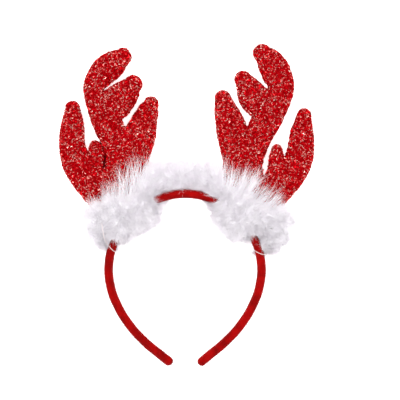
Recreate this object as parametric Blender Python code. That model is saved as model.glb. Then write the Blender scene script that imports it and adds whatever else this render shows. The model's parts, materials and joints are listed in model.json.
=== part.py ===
"""Reindeer antler headband: a covered hoop, two stuffed antlers and a fur strip.

It lies on its back: +X to the right in the front view, +Y up the antlers, +Z out of the front.
The pieces are drawn about the centre of the hoop's crown arc, with the hoop flat in XY, and an empty
then tips them until the hoop's tips and the fur stand on z = 0.
"""

import math
import random

import bmesh
import bpy
from mathutils import Vector, kdtree
from mathutils.geometry import delaunay_2d_cdt

MM = 0.001
GAP = 0.4 * MM  # clearance between two pieces that touch
SHARP_ANGLE = math.radians(40.0)  # edges that bend more than this are shaded sharp

# The hoop: one bar, bent through two arcs and a straight toe on each side. The right side is sprung out a
# little more than the left one.
CROWN_RADIUS = 61.5 * MM
CROWN_SWEEP = math.radians(114.0)
CHEEK_RADIUS = 101.5 * MM
CHEEK_SWEEP = {-1: math.radians(28.0), 1: math.radians(27.0)}  # by side: left, right
TOE_LENGTH = 19.4 * MM  # of the left side
BAND_THICKNESS = 6.4 * MM
BAND_DEPTH = 10.0 * MM
BAND_STEP = 4.6 * MM
TIP_LENGTH = 3.5 * MM  # the stretch in which a tip rounds off
TIP_STEPS = 4
TIP_BLUNT = 0.25  # what is left of the section at the very end
TWIST_ANGLE = math.radians(24.0)  # of the left leg, from here to its tip
TWIST_LENGTH = 70.0 * MM

# The bar's section, as shares of half the thickness (out of the hoop) and half the depth (to the front).
BAND_SECTION = (
    # outward, forward
    (1.00, 0.00),
    (0.90, 0.50),
    (0.55, 0.87),
    (0.00, 1.00),
    (-0.60, 0.88),
    (-1.00, 0.50),
    (-1.00, -0.50),
    (-0.60, -0.88),
    (0.00, -1.00),
    (0.55, -0.87),
    (0.90, -0.50),
)

# The antlers are pillows: two fabric panels sewn along the outline and stuffed.
PILLOW_THICKNESS = 8.6 * MM
SEAM_THICKNESS = 1.6 * MM
SHOULDER = 8.0 * MM  # how far in from the seam the pillow reaches its full thickness
OUTLINE_STEP = 3.0 * MM
FILL_STEP = 4.8 * MM
FILL_MARGIN = 2.4 * MM  # between the outline and the first points inside it
FILL_ROW_PITCH = math.sqrt(3) / 2  # of one step, so that the rows make even triangles
SHORTEST_EDGE = 0.5 * MM
MERGE_DISTANCE = 1e-7  # points of the outlines closer than this are one
TINE_TIP_SIDES = 6
CROWN_DISC_SIDES = 96
CROWN_DISC_DEPTH = 34.0 * MM

# Each tine is a row of sections along its middle, from its root to its round tip, in millimetres.
LEFT_TINES = {
    # x, y, half width
    "stem": (
        (-52.9, 38.6, 15.0),
        (-53.7, 64.2, 16.0),
        (-47.3, 84.2, 16.0),
        (-55.4, 103.4, 12.0),
        (-64.1, 123.4, 12.0),
        (-72.5, 143.4, 8.4),
        (-67.3, 155.4, 10.8),
        (-57.7, 164.2, 11.2),
        (-49.7, 170.6, 7.4),
    ),
    "middle": ((-60.1, 128.2, 12.0), (-54.9, 133.8, 13.6), (-47.1, 141.8, 11.5), (-41.3, 148.6, 7.7)),
    "inner": (
        (-44.2, 82.0, 12.9),
        (-36.9, 106.6, 13.2),
        (-33.3, 117.8, 11.2),
        (-29.5, 127.4, 8.8),
        (-27.1, 133.0, 6.4),
    ),
    "long": (
        (-60.0, 44.0, 8.0),
        (-77.7, 69.8, 10.8),
        (-85.7, 84.2, 12.0),
        (-89.9, 100.2, 10.7),
        (-89.5, 116.2, 9.6),
        (-89.7, 129.6, 6.2),
    ),
    "small": (
        (-70.5, 70.6, 7.2),
        (-71.2, 81.8, 6.5),
        (-71.1, 89.8, 6.5),
        (-71.35, 95.4, 6.2),
        (-71.9, 99.4, 5.1),
    ),
}
RIGHT_TINES = {
    # x, y, half width
    "stem": (
        (52.7, 37.0, 14.4),
        (49.5, 62.6, 15.2),
        (46.5, 83.4, 16.5),
        (55.9, 101.8, 11.6),
        (63.3, 117.0, 12.0),
        (71.5, 133.8, 12.0),
        (76.6, 146.2, 10.5),
        (72.7, 157.4, 12.0),
        (67.3, 166.8, 10.9),
        (61.5, 173.4, 7.7),
    ),
    "middle": ((61.5, 129.8, 11.2), (55.5, 137.4, 12.6), (50.7, 145.4, 10.5), (46.5, 152.6, 7.2)),
    "inner": (
        (44.6, 84.0, 13.4),
        (38.5, 108.2, 12.8),
        (35.5, 120.2, 11.4),
        (32.5, 129.2, 9.4),
        (30.3, 137.4, 6.8),
    ),
    "long": (
        (60.0, 42.0, 8.0),
        (83.7, 73.8, 10.8),
        (89.5, 85.8, 11.6),
        (92.3, 97.8, 11.0),
        (93.2, 110.6, 9.4),
        (95.1, 124.0, 6.0),
    ),
    "small": ((70.3, 72.2, 8.0), (71.9, 81.8, 6.4), (72.9, 89.8, 6.4), (73.3, 96.4, 4.8)),
}

# The fur strip: how far its lock tips reach from the bar's middle, at angles round the crown arc. Where
# it doesn't cover the bar's front, it is wound behind the bar, and rises only outside it.
FUR_SECTIONS = (
    # degrees right of the top, outward, inward and forward in millimetres, share of the bar's front covered
    (-75.5, 9, 3, 5, 0.0),
    (-72, 17, 4, 10, 0.0),
    (-67, 23, 5, 15, 0.0),
    (-60, 33, 9, 20, 0.85),
    (-54, 36, 11, 22, 1.0),
    (-47, 35, 13, 22, 1.0),
    (-39, 32, 15, 22, 1.0),
    (-30, 28, 14, 19, 0.2),
    (-22, 29, 9, 15, 0.0),
    (-16, 29, 4, 10, 0.0),
    (-9, 27, 0, 7, 0.0),
    (0, 26, 0, 6, 0.0),
    (9, 27, 0, 7, 0.0),
    (16, 29, 2, 10, 0.0),
    (21, 26, 9, 14, 0.1),
    (28, 21, 14, 17, 0.3),
    (35, 25, 14.5, 20, 0.7),
    (42, 31, 16, 22, 1.0),
    (50, 31, 17.5, 22, 1.0),
    (58, 38, 12, 21, 0.4),
    (64, 34, 5, 18, 0.0),
    (69, 28, 4.5, 15, 0.0),
    (73, 20, 4, 12, 0.0),
    (79, 8, 3.5, 5, 0.0),
)
FUR_STATIONS = 27
FUR_SIDES = 16
FUR_BOX = 0.78  # under 1, the section is fuller than an ellipse
BARE_FRONT = -1.2 * MM  # how high the lock roots stay where the bar's front is bare
BARE_EDGE = 5.0 * MM  # from the bar's middle out to where they start to rise
BARE_SLOPE = 6.0 * MM  # across which they rise to their full height
LOCK_LENGTH = 6.5 * MM
SHORTEST_LOCK = 0.75  # of that length
LONGEST_LOCK = 1.1
LOCK_TIP = 0.28  # width of a lock's tip against its root
LOCK_LEAN = 0.45  # most sideways lean of a lock against its length
LOCK_FLOOR_GAP = 1.6 * MM  # between the floor and the middle of a lock's tip
LOWEST_LOCK = -0.6  # faces that look further down than this lie on the floor and stay flat
FUR_SEED = 7

# How it lies: the fur holds the crown up, and the two tips touch the floor.
CROWN_LIFT = 6.0 * MM
CROWN_TO_TIPS = 137.0 * MM
TILT = math.asin(CROWN_LIFT / CROWN_TO_TIPS)

COLORS = {
    # red, green, blue, roughness, metallic
    "red_velvet": (0.45, 0.01, 0.01, 0.75, 0.0),
    "red_tinsel": (0.55, 0.01, 0.02, 0.35, 0.4),
    "white_fur": (0.86, 0.84, 0.88, 0.95, 0.0),
}


def clear_scene():
    for obj in list(bpy.data.objects):
        bpy.data.objects.remove(obj)


def new_collection(name):
    collection = bpy.data.collections.new(name)
    bpy.context.scene.collection.children.link(collection)
    return collection


def new_material(name):
    red, green, blue, roughness, metallic = COLORS[name]
    material = bpy.data.materials.new(name)
    material.use_nodes = True
    shader = material.node_tree.nodes["Principled BSDF"]
    shader.inputs["Base Color"].default_value = (red, green, blue, 1.0)
    shader.inputs["Roughness"].default_value = roughness
    shader.inputs["Metallic"].default_value = metallic
    material.diffuse_color = (red, green, blue, 1.0)
    return material


def new_object(name, bm, collection, material=None):
    """Turns a bmesh into a smooth-shaded object of the collection."""
    mesh = bpy.data.meshes.new(name)
    bm.to_mesh(mesh)
    bm.free()
    mesh.shade_smooth()
    mesh.set_sharp_from_angle(angle=SHARP_ANGLE)
    obj = bpy.data.objects.new(name, mesh)
    collection.objects.link(obj)
    if material:
        mesh.materials.append(material)
    return obj


def spline(rows, step):
    """Catmull-Rom curve through rows of any width, a point about every step of the first two columns."""
    rows = [Vector(row) for row in rows]
    before = [2 * rows[0] - rows[1]] + rows
    after = rows + [2 * rows[-1] - rows[-2]]
    points = []
    for i in range(len(rows) - 1):
        p0, p1, p2, p3 = before[i], rows[i], rows[i + 1], after[i + 2]
        pieces = max(1, round((p2 - p1).xy.length / step))
        for k in range(pieces):
            t = k / pieces
            points.append(
                0.5
                * (
                    2 * p1
                    + (p2 - p0) * t
                    + (2 * p0 - 5 * p1 + 4 * p2 - p3) * t**2
                    + (3 * p1 - p0 - 3 * p2 + p3) * t**3
                )
            )
    return points + [rows[-1]]


def loft(rings):
    """One closed body through rings of equally many points, with a flat face at each end."""
    bm = bmesh.new()
    loops = [[bm.verts.new(point) for point in ring] for ring in rings]
    for first, second in zip(loops, loops[1:]):
        for i in range(len(first)):
            j = (i + 1) % len(first)
            bm.faces.new((first[i], first[j], second[j], second[i]))
    bm.faces.new(loops[0])
    bm.faces.new(loops[-1])
    bmesh.ops.recalc_face_normals(bm, faces=bm.faces)
    return bm


def hoop_point(along):
    """(point, heading angle) on the bar's middle line, this far from its top: left is negative."""
    side = -1 if along < 0 else 1
    left = abs(along)
    x, y, heading = 0.0, CROWN_RADIUS, 0.0
    for radius, sweep in ((CROWN_RADIUS, CROWN_SWEEP), (CHEEK_RADIUS, CHEEK_SWEEP[side])):
        turn = min(left / radius, sweep)
        chord = 2 * radius * math.sin(turn / 2)
        x += chord * math.cos(heading + turn / 2)
        y -= chord * math.sin(heading + turn / 2)
        heading += turn
        left -= turn * radius
    if left > 0:
        x += left * math.cos(heading)
        y -= left * math.sin(heading)
    return Vector((side * x, y, 0.0)), side * heading


HALF_LENGTH = CROWN_RADIUS * CROWN_SWEEP + CHEEK_RADIUS * CHEEK_SWEEP[-1] + TOE_LENGTH


def hoop_ring(along, size, grow):
    """The bar's section there, scaled by size and then grown all round."""
    middle, heading = hoop_point(along)
    outward = Vector((math.sin(heading), math.cos(heading), 0.0))
    twist = TWIST_ANGLE * max(0.0, min(1.0, (TWIST_LENGTH - HALF_LENGTH - along) / TWIST_LENGTH))
    ring = []
    for out, front in BAND_SECTION:
        out *= BAND_THICKNESS / 2 * size + grow
        front *= BAND_DEPTH / 2 * size + grow
        turned_out = out * math.cos(twist) - front * math.sin(twist)
        turned_front = out * math.sin(twist) + front * math.cos(twist)
        ring.append(middle + outward * turned_out + Vector((0.0, 0.0, turned_front)))
    return ring


def hoop_stations():
    """(distance from the top, size of the section) from the left tip to the right one."""
    straight = HALF_LENGTH - TIP_LENGTH
    count = 2 * round(straight / BAND_STEP) + 1  # odd, so that a facet lies across the top
    stations = [(straight * (2 * i / count - 1), 1.0) for i in range(count + 1)]
    for i in range(1, TIP_STEPS + 1):
        share = i / TIP_STEPS
        size = max(TIP_BLUNT, math.sqrt(1 - share**2))
        stations.insert(0, (-straight - TIP_LENGTH * share, size))
        stations.append((straight + TIP_LENGTH * share, size))
    return stations


def build_hoop(name, collection, material=None, grow=0.0):
    rings = [hoop_ring(along, size, grow) for along, size in hoop_stations()]
    return new_object(name, loft(rings), collection, material)


def tine_outline(rows, grow):
    """The closed 2D outline of one tine: two sides at its half width and a round tip."""
    middle = spline([Vector(row) * MM for row in rows], OUTLINE_STEP)
    left, right = [], []
    for i, point in enumerate(middle):
        ahead = middle[min(i + 1, len(middle) - 1)].xy - middle[max(i - 1, 0)].xy
        across = Vector((-ahead.y, ahead.x)).normalized() * (point.z + grow)
        left.append(point.xy + across)
        right.append(point.xy - across)
    tip, across = middle[-1].xy, left[-1] - middle[-1].xy
    onward = Vector((across.y, -across.x))
    cap = []
    for i in range(1, TINE_TIP_SIDES):
        angle = math.pi * i / TINE_TIP_SIDES
        cap.append(tip + across * math.cos(angle) + onward * math.sin(angle))
    return (left + cap + right[::-1])[::-1]


def triangulate(outlines, extra=()):
    """(points, triangles) of everything inside the closed outlines, which may overlap."""
    points, edges, faces = [], [], []
    for outline in outlines:
        start = len(points)
        points += outline
        ring = list(range(start, len(points)))
        edges += [(i, j) for i, j in zip(ring, ring[1:] + ring[:1])]
        faces.append(ring)
    points += extra
    found = delaunay_2d_cdt(points, edges, faces, 0, MERGE_DISTANCE)
    triangles = [tri for tri, owners in zip(found[2], found[5]) if owners]
    return found[0], triangles


def outer_loop(points, triangles):
    """The outline of a flat triangle mesh, with points that crowd the one before left out."""
    edges = {(a, b) for tri in triangles for a, b in zip(tri, tri[1:] + tri[:1])}
    after = {}
    for a, b in sorted(edges):
        if (b, a) not in edges:
            after.setdefault(a, []).append(b)
    leftmost = min(after, key=lambda i: points[i].x)
    loop = [points[leftmost]]
    here = after[leftmost].pop()
    while here != leftmost:
        if (points[here] - loop[-1]).length > SHORTEST_EDGE:
            loop.append(points[here])
        here = after[here].pop()
    return loop


def distance_to(loop):
    """A function that gives the distance from a flat point to the loop."""
    samples = []
    for a, b in zip(loop, loop[1:] + loop[:1]):
        pieces = max(1, math.ceil((b - a).length / SHORTEST_EDGE))
        samples += [a.lerp(b, k / pieces) for k in range(pieces)]
    tree = kdtree.KDTree(len(samples))
    for i, point in enumerate(samples):
        tree.insert(point.to_3d(), i)
    tree.balance()
    return lambda point: tree.find(point.to_3d())[2]


def fill_points(points, triangles, distance):
    """Staggered rows of points inside the flat shape, clear of its edge."""
    xs = [point.x for point in points]
    ys = [point.y for point in points]
    row_step = FILL_STEP * FILL_ROW_PITCH
    rows = math.ceil((max(ys) - min(ys)) / row_step)
    columns = math.ceil((max(xs) - min(xs)) / FILL_STEP)
    grid = []
    for row in range(rows):
        for column in range(columns):
            x = min(xs) + (column + 0.5 * (row % 2)) * FILL_STEP
            grid.append(Vector((x, min(ys) + row * row_step)))
    corners = [[points[i] for i in tri] for tri in triangles]

    def inside(point):
        for a, b, c in corners:
            sides = (b - a).cross(point - a), (c - b).cross(point - b), (a - c).cross(point - c)
            if min(sides) >= 0:
                return True
        return False

    return [point for point in grid if distance(point) > FILL_MARGIN and inside(point)]


def pillow_height(distance, grow):
    """Half the pillow's thickness, this far in from its seam."""
    share = 1 - min(distance / SHOULDER, 1.0)
    seam = SEAM_THICKNESS / 2
    return seam + (PILLOW_THICKNESS / 2 - seam) * math.sqrt(1 - share**2) + grow


def build_antler(name, tines, collection, material=None, grow=0.0):
    outlines = [tine_outline(rows, grow) for rows in tines.values()]
    rough_points, rough_triangles = triangulate(outlines)
    loop = outer_loop(rough_points, rough_triangles)
    distance = distance_to(loop)
    extra = fill_points(rough_points, rough_triangles, distance)
    points, triangles = triangulate([loop], extra)
    bm = bmesh.new()
    heights = [pillow_height(distance(point), grow) for point in points]
    front = [bm.verts.new((p.x, p.y, height)) for p, height in zip(points, heights)]
    back = [bm.verts.new((p.x, p.y, -height)) for p, height in zip(points, heights)]
    used = set()
    for a, b, c in triangles:
        bm.faces.new((front[a], front[b], front[c]))
        bm.faces.new((back[c], back[b], back[a]))
        used |= {(a, b), (b, c), (c, a)}
    for a, b in used:
        if (b, a) not in used:
            bm.faces.new((front[b], front[a], back[a], back[b]))
    bmesh.ops.delete(bm, geom=[vert for vert in bm.verts if not vert.link_faces], context="VERTS")
    return new_object(name, bm, collection, material)


def new_crown_disc(collection):
    """The disc that gives both antlers a foot curved to sit on the hoop."""
    bpy.ops.mesh.primitive_cylinder_add(
        vertices=CROWN_DISC_SIDES, radius=CROWN_RADIUS + BAND_THICKNESS / 2 + GAP, depth=CROWN_DISC_DEPTH
    )
    disc = bpy.context.object
    disc.name = "crown_disc"
    for owner in list(disc.users_collection):
        owner.objects.unlink(disc)
    collection.objects.link(disc)
    return disc


def floor_height(y):
    """Where the floor lies under the untipped pieces, from the hoop's tips and the tilt."""
    tip = hoop_point(HALF_LENGTH)[0]
    return -BAND_DEPTH / 2 - (y - tip.y) * math.tan(TILT)


def fur_ring(station):
    """Roots of the locks round the strip at one station: a full oval, low where the bar's front is bare."""
    angle, outward, inward, forward, cover = station
    cover = max(0.0, min(1.0, cover))
    direction = Vector((math.sin(math.radians(angle)), math.cos(math.radians(angle)), 0.0))
    outward = max(outward * MM - LOCK_LENGTH, BAND_THICKNESS / 2)
    inward = inward * MM - LOCK_LENGTH / 2
    forward = forward * MM - LOCK_LENGTH / 2
    floor = floor_height(direction.y * CROWN_RADIUS)
    middle = CROWN_RADIUS + (outward - inward) / 2
    half_width, half_height = (outward + inward) / 2, (forward - floor) / 2
    ring = []
    for i in range(FUR_SIDES):
        turn = 2 * math.pi * i / FUR_SIDES
        across = math.copysign(abs(math.cos(turn)) ** FUR_BOX, math.cos(turn))
        up = math.copysign(abs(math.sin(turn)) ** FUR_BOX, math.sin(turn))
        radius = middle + half_width * across
        rise = max(0.0, min(1.0, (abs(radius - CROWN_RADIUS) - BARE_EDGE) / BARE_SLOPE))
        point = direction * radius
        point.z = floor_height(point.y) + half_height * (1 + up)
        bare = min(point.z, BARE_FRONT)
        point.z = bare + (point.z - bare) * max(cover, rise)
        ring.append(point)
    return ring


def grow_locks(bm, seed):
    """Pulls each face of the strip out into a pointed lock, except those on the floor and at the ends."""
    rng = random.Random(seed)
    bm.normal_update()
    faces = [face for face in bm.faces if len(face.verts) == 4 and face.normal.z > LOWEST_LOCK]
    grown = bmesh.ops.extrude_discrete_faces(bm, faces=faces)["faces"]
    bm.normal_update()
    for face in grown:
        middle, normal = face.calc_center_median(), face.normal.copy()
        sideways = Vector((rng.uniform(-1, 1), rng.uniform(-1, 1), rng.uniform(-1, 1)))
        reach = LOCK_LENGTH * rng.uniform(SHORTEST_LOCK, LONGEST_LOCK)
        tip = middle + normal * reach + sideways.cross(normal) * reach * LOCK_LEAN
        tip.z = max(tip.z, floor_height(tip.y) + LOCK_FLOOR_GAP)
        for vert in face.verts:
            vert.co = tip + (vert.co - middle) * LOCK_TIP


def drop_crumbs(bm):
    """Keeps the largest connected body, without the lock ends that a cut has left loose."""
    todo, bodies = set(bm.verts), []
    while todo:
        front = [todo.pop()]
        body = set(front)
        while front:
            for edge in front.pop().link_edges:
                for vert in edge.verts:
                    if vert in todo:
                        todo.remove(vert)
                        body.add(vert)
                        front.append(vert)
        bodies.append(body)
    bodies.sort(key=len)
    for body in bodies[:-1]:
        bmesh.ops.delete(bm, geom=list(body), context="VERTS")


def build_fur(name, collection, material, cutters):
    rows = [Vector(row) for row in FUR_SECTIONS]
    fine = spline(rows, 1.0)
    first, last = rows[0][0], rows[-1][0]
    rings = []
    for i in range(FUR_STATIONS):
        angle = first + (last - first) * i / (FUR_STATIONS - 1)
        rings.append(fur_ring(min(fine, key=lambda row: abs(row[0] - angle))))
    bm = loft(rings)
    grow_locks(bm, FUR_SEED)
    uncut = new_object("uncut_fur", bm, collection)
    for cutter in cutters:
        cut = uncut.modifiers.new(cutter.name, "BOOLEAN")
        cut.operation = "DIFFERENCE"
        cut.solver = "EXACT"
        cut.use_self = True  # neighbouring locks lean through each other
        cut.object = cutter
    graph = bpy.context.evaluated_depsgraph_get()
    bm = bmesh.new()
    bm.from_mesh(uncut.evaluated_get(graph).data)
    bpy.data.objects.remove(uncut)
    drop_crumbs(bm)
    return new_object(name, bm, collection, material)


def lay_on_floor(pieces, helpers):
    """Parents everything to a tipped empty, with the origin on the floor under the bounding box's middle."""
    pose = bpy.data.objects.new("lying_pose", None)
    bpy.context.scene.collection.objects.link(pose)
    pose.rotation_euler.x = TILT
    for obj in pieces + helpers:
        obj.parent = pose
    bpy.context.view_layer.update()
    graph = bpy.context.evaluated_depsgraph_get()
    corners = []
    for obj in pieces:
        evaluated = obj.evaluated_get(graph)
        corners += [evaluated.matrix_world @ vert.co for vert in evaluated.data.vertices]
    low = Vector([min(corner[axis] for corner in corners) for axis in range(3)])
    high = Vector([max(corner[axis] for corner in corners) for axis in range(3)])
    pose.location = (-(low.x + high.x) / 2, -(low.y + high.y) / 2, -low.z)


def main():
    clear_scene()
    parts = new_collection("reindeer_antler_headband")
    cutters = new_collection("cutters")
    velvet = new_material("red_velvet")
    tinsel = new_material("red_tinsel")
    fur_white = new_material("white_fur")
    hoop = build_hoop("headband", parts, velvet)
    disc = new_crown_disc(cutters)
    helpers = [disc, build_hoop("hoop_clearance", cutters, grow=GAP)]
    pieces = [hoop]
    for side, tines in (("left", LEFT_TINES), ("right", RIGHT_TINES)):
        antler = build_antler(f"antler_{side}", tines, parts, tinsel)
        foot = antler.modifiers.new("foot", "BOOLEAN")
        foot.operation = "DIFFERENCE"
        foot.solver = "EXACT"
        foot.object = disc
        pieces.append(antler)
        helpers.append(build_antler(f"antler_{side}_clearance", tines, cutters, grow=GAP))
    pieces.append(build_fur("fur_trim", parts, fur_white, helpers[1:]))
    for helper in helpers:
        helper.hide_render = True
        helper.display_type = "WIRE"
    lay_on_floor(pieces, helpers)


main()
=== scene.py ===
import json
import math
import random

import bmesh
import bpy
import numpy as np
from mathutils import Matrix, Vector
from mathutils.bvhtree import BVHTree
from mathutils.geometry import delaunay_2d_cdt

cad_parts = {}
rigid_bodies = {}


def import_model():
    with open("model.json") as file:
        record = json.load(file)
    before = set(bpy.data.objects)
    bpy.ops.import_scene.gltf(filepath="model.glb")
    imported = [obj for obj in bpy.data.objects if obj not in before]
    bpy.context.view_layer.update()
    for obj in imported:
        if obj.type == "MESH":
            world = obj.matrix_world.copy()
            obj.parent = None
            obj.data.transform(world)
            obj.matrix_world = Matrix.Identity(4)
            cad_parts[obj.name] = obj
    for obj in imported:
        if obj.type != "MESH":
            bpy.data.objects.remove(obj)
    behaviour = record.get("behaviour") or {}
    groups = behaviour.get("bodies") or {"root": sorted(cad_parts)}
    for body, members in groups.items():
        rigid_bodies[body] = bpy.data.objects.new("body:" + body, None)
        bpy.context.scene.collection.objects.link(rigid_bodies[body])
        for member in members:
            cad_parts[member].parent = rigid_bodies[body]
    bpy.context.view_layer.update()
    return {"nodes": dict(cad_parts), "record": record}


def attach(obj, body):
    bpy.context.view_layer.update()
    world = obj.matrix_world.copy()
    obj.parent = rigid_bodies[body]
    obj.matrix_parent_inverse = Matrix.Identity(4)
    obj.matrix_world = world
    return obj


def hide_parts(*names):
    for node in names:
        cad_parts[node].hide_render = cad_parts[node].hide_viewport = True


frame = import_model()
MM = 0.001

# The hoop: a springy plastic bar, bent over a former into a narrow arch and covered in short red velvet.
# The velvet is one ribbon, glued round the bar with its two edges meeting down the inner side, and folded
# over at the tips. The bar is drawn flat about the centre of its crown, and LYING lays it on the floor.
CROWN_RADIUS = 61.5 * MM
CROWN_SWEEP = math.radians(114.0)
CHEEK_RADIUS = 101.5 * MM
CHEEK_SWEEP = {-1: math.radians(28.0), 1: math.radians(27.0)}  # by side: the right one is sprung out more
TOE_LENGTH = 19.4 * MM  # of the left side
BAND_THICKNESS = 6.4 * MM
BAND_DEPTH = 10.0 * MM
TIP_LENGTH = 3.5 * MM
TIP_BLUNT = 0.25
TWIST_ANGLE = math.radians(24.0)
TWIST_LENGTH = 70.0 * MM
HALF_LENGTH = CROWN_RADIUS * CROWN_SWEEP + CHEEK_RADIUS * CHEEK_SWEEP[-1] + TOE_LENGTH
SEAT_DEPTH = 58.26 * MM  # from the crown's centre to the middle of the bare inner facet
BAND_SECTION = (
    # outward, forward
    (1.00, 0.00), (0.90, 0.50), (0.55, 0.87), (0.00, 1.00), (-0.60, 0.88), (-1.00, 0.50),
    (-1.00, -0.50), (-0.60, -0.88), (0.00, -1.00), (0.55, -0.87), (0.90, -0.50),
)
SECTION_PIECES = 4
STATION_STEP = 1.3 * MM
TIP_STEPS = 9
LUMP_HEIGHT = 0.12 * MM
LUMP_WAVES = (4.1 * MM, 9.3 * MM)  # two waves along the bar, for each radian
LUMP_SWAY = 1.7
SEAM_HEIGHT = 0.35 * MM
SEAM_WIDTH = 0.7 * MM
PUCKERS = 9
PUCKER_DEPTH = 0.18 * MM
PUCKER_LENGTH = 7.0 * MM
FOLD_AT = -159.0 * MM
FOLD_WIDTH = 0.8 * MM
FOLD_DEPTH = 0.35 * MM
NAP_PER_M2 = 5.0e6
NAP_LENGTH = 0.6 * MM
NAP_WIDTH = 0.11 * MM
NAP_LEAN = 0.4

seat = frame["record"]["mounts"][0]
seat_axis = Vector(seat["axis"])
crown_centre = Vector(seat["pos_m"]) + seat_axis * SEAT_DEPTH
LYING = Matrix.Translation(crown_centre) @ Matrix.Rotation(math.asin(-seat_axis.z), 4, "X")


def clamp(value, low=0.0, high=1.0):
    """The value, or the nearer of the two limits."""
    return max(low, min(high, value))


def between(p0, p1, p2, p3, t):
    """The Catmull-Rom curve's point at share t of the way from p1 to p2."""
    slope = (p2 - p0) * t
    bend = (2 * p0 - 5 * p1 + 4 * p2 - p3) * t**2
    twist = (3 * p1 - p0 - 3 * p2 + p3) * t**3
    return 0.5 * (2 * p1 + slope + bend + twist)


def spline(rows, step):
    """Catmull-Rom curve through rows, with a point about every step along their first two columns."""
    rows = [Vector(row) for row in rows]
    before = [2 * rows[0] - rows[1]] + rows
    after = rows + [2 * rows[-1] - rows[-2]]
    points = []
    for i in range(len(rows) - 1):
        pieces = max(1, round((rows[i + 1] - rows[i]).xy.length / step))
        for k in range(pieces):
            points.append(between(before[i], rows[i], rows[i + 1], after[i + 2], k / pieces))
    return points + [rows[-1]]


def hoop_point(along):
    """(point, heading angle) on the bar's middle line, this far from its top: left is negative."""
    side = -1 if along < 0 else 1
    left = abs(along)
    x, y, heading = 0.0, CROWN_RADIUS, 0.0
    for radius, sweep in ((CROWN_RADIUS, CROWN_SWEEP), (CHEEK_RADIUS, CHEEK_SWEEP[side])):
        turn = min(left / radius, sweep)
        chord = 2 * radius * math.sin(turn / 2)
        x += chord * math.cos(heading + turn / 2)
        y -= chord * math.sin(heading + turn / 2)
        heading += turn
        left -= turn * radius
    if left > 0:
        x += left * math.cos(heading)
        y -= left * math.sin(heading)
    return Vector((side * x, y, 0.0)), side * heading


def smooth_section():
    """The velvet's section round the bar, rounded through the named corners."""
    count = len(BAND_SECTION)
    points = []
    for i in range(count):
        corners = [Vector(BAND_SECTION[(i + k - 1) % count]) for k in range(4)]
        points += [between(*corners, k / SECTION_PIECES) for k in range(SECTION_PIECES)]
    return points


def hoop_ring(section, along, size):
    """Points of the velvet round the bar at one station, with its seam, puckers, lumps and fold."""
    middle, heading = hoop_point(along)
    outward = Vector((math.sin(heading), math.cos(heading), 0.0))
    twist = TWIST_ANGLE * clamp((TWIST_LENGTH - HALF_LENGTH - along) / TWIST_LENGTH)
    to_tip = HALF_LENGTH - abs(along)
    pucker = PUCKER_DEPTH * max(0.0, 1 - to_tip / PUCKER_LENGTH)
    fold = FOLD_DEPTH * math.exp(-(((along - FOLD_AT) / FOLD_WIDTH) ** 2))
    ring = []
    for i, (out, front) in enumerate(section):
        turn = 2 * math.pi * i / len(section)
        out *= BAND_THICKNESS / 2 * size
        front *= BAND_DEPTH / 2 * size
        short_wave = math.sin(along / LUMP_WAVES[0] + LUMP_SWAY * math.sin(turn))
        long_wave = math.sin(along / LUMP_WAVES[1] + turn)
        lump = LUMP_HEIGHT * short_wave * long_wave
        lump += pucker * math.sin(PUCKERS * turn) - fold * (0.6 + 0.4 * math.cos(turn))
        if out < 0:
            out -= lump + SEAM_HEIGHT * math.exp(-((front / SEAM_WIDTH) ** 2))
        else:
            out += lump * math.cos(turn)
        front += lump * math.sin(turn)
        turned_out = out * math.cos(twist) - front * math.sin(twist)
        turned_front = out * math.sin(twist) + front * math.cos(twist)
        ring.append(LYING @ (middle + outward * turned_out + Vector((0.0, 0.0, turned_front))))
    return ring


def hoop_stations():
    """(distance from the top, size of the section) from the left tip to the right one."""
    straight = HALF_LENGTH - TIP_LENGTH
    count = 2 * round(straight / STATION_STEP)
    stations = [(straight * (2 * i / count - 1), 1.0) for i in range(count + 1)]
    for i in range(1, TIP_STEPS + 1):
        share = math.sin(math.pi / 2 * i / TIP_STEPS)
        size = max(TIP_BLUNT, math.sqrt(1 - share**2))
        stations.insert(0, (-straight - TIP_LENGTH * share, size))
        stations.append((straight + TIP_LENGTH * share, size))
    return stations


def new_piece(name, bm, material):
    """A finished mesh object at the origin, smooth, with its place in its mesh."""
    mesh = bpy.data.meshes.new(name)
    bm.to_mesh(mesh)
    bm.free()
    mesh.shade_smooth()
    mesh.materials.append(material)
    piece = bpy.data.objects.new(name, mesh)
    bpy.context.scene.collection.objects.link(piece)
    return piece


def loft(rings):
    """One closed skin through rings of equally many points, with a face at each end."""
    bm = bmesh.new()
    loops = [[bm.verts.new(point) for point in ring] for ring in rings]
    for first, second in zip(loops, loops[1:]):
        for i in range(len(first)):
            j = (i + 1) % len(first)
            bm.faces.new((first[i], first[j], second[j], second[i]))
    bm.faces.new(loops[0])
    bm.faces.new(loops[-1])
    bmesh.ops.recalc_face_normals(bm, faces=bm.faces)
    return bm


def feed(tree, socket, value):
    """Links an output to the node's input, or gives it a plain value."""
    if isinstance(value, bpy.types.NodeSocket):
        tree.links.new(value, socket)
    else:
        socket.default_value = value


def add_node(tree, kind, inputs=None, **properties):
    """A node of the tree with its properties set, and its inputs fed by name."""
    made = tree.nodes.new(kind)
    for key, value in properties.items():
        setattr(made, key, value)
    for key, value in (inputs or {}).items():
        feed(tree, next(s for s in made.inputs if s.enabled and s.name == key), value)
    return made


def result(made, name=None):
    """The node's first live output, or the one of that name."""
    return next(s for s in made.outputs if s.enabled and name in (None, s.name))


def reckon(tree, kind, operation, *values):
    """The result of a math node, its inputs fed in their order."""
    made = add_node(tree, kind, operation=operation)
    for socket, value in zip(made.inputs, values):
        feed(tree, socket, value)
    return result(made)


def noise(tree, place, scale, detail, output="Fac", **more):
    """Smooth noise over the place."""
    made = add_node(tree, "ShaderNodeTexNoise", {"Vector": place, "Scale": scale, "Detail": detail, **more})
    return result(made, output)


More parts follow.
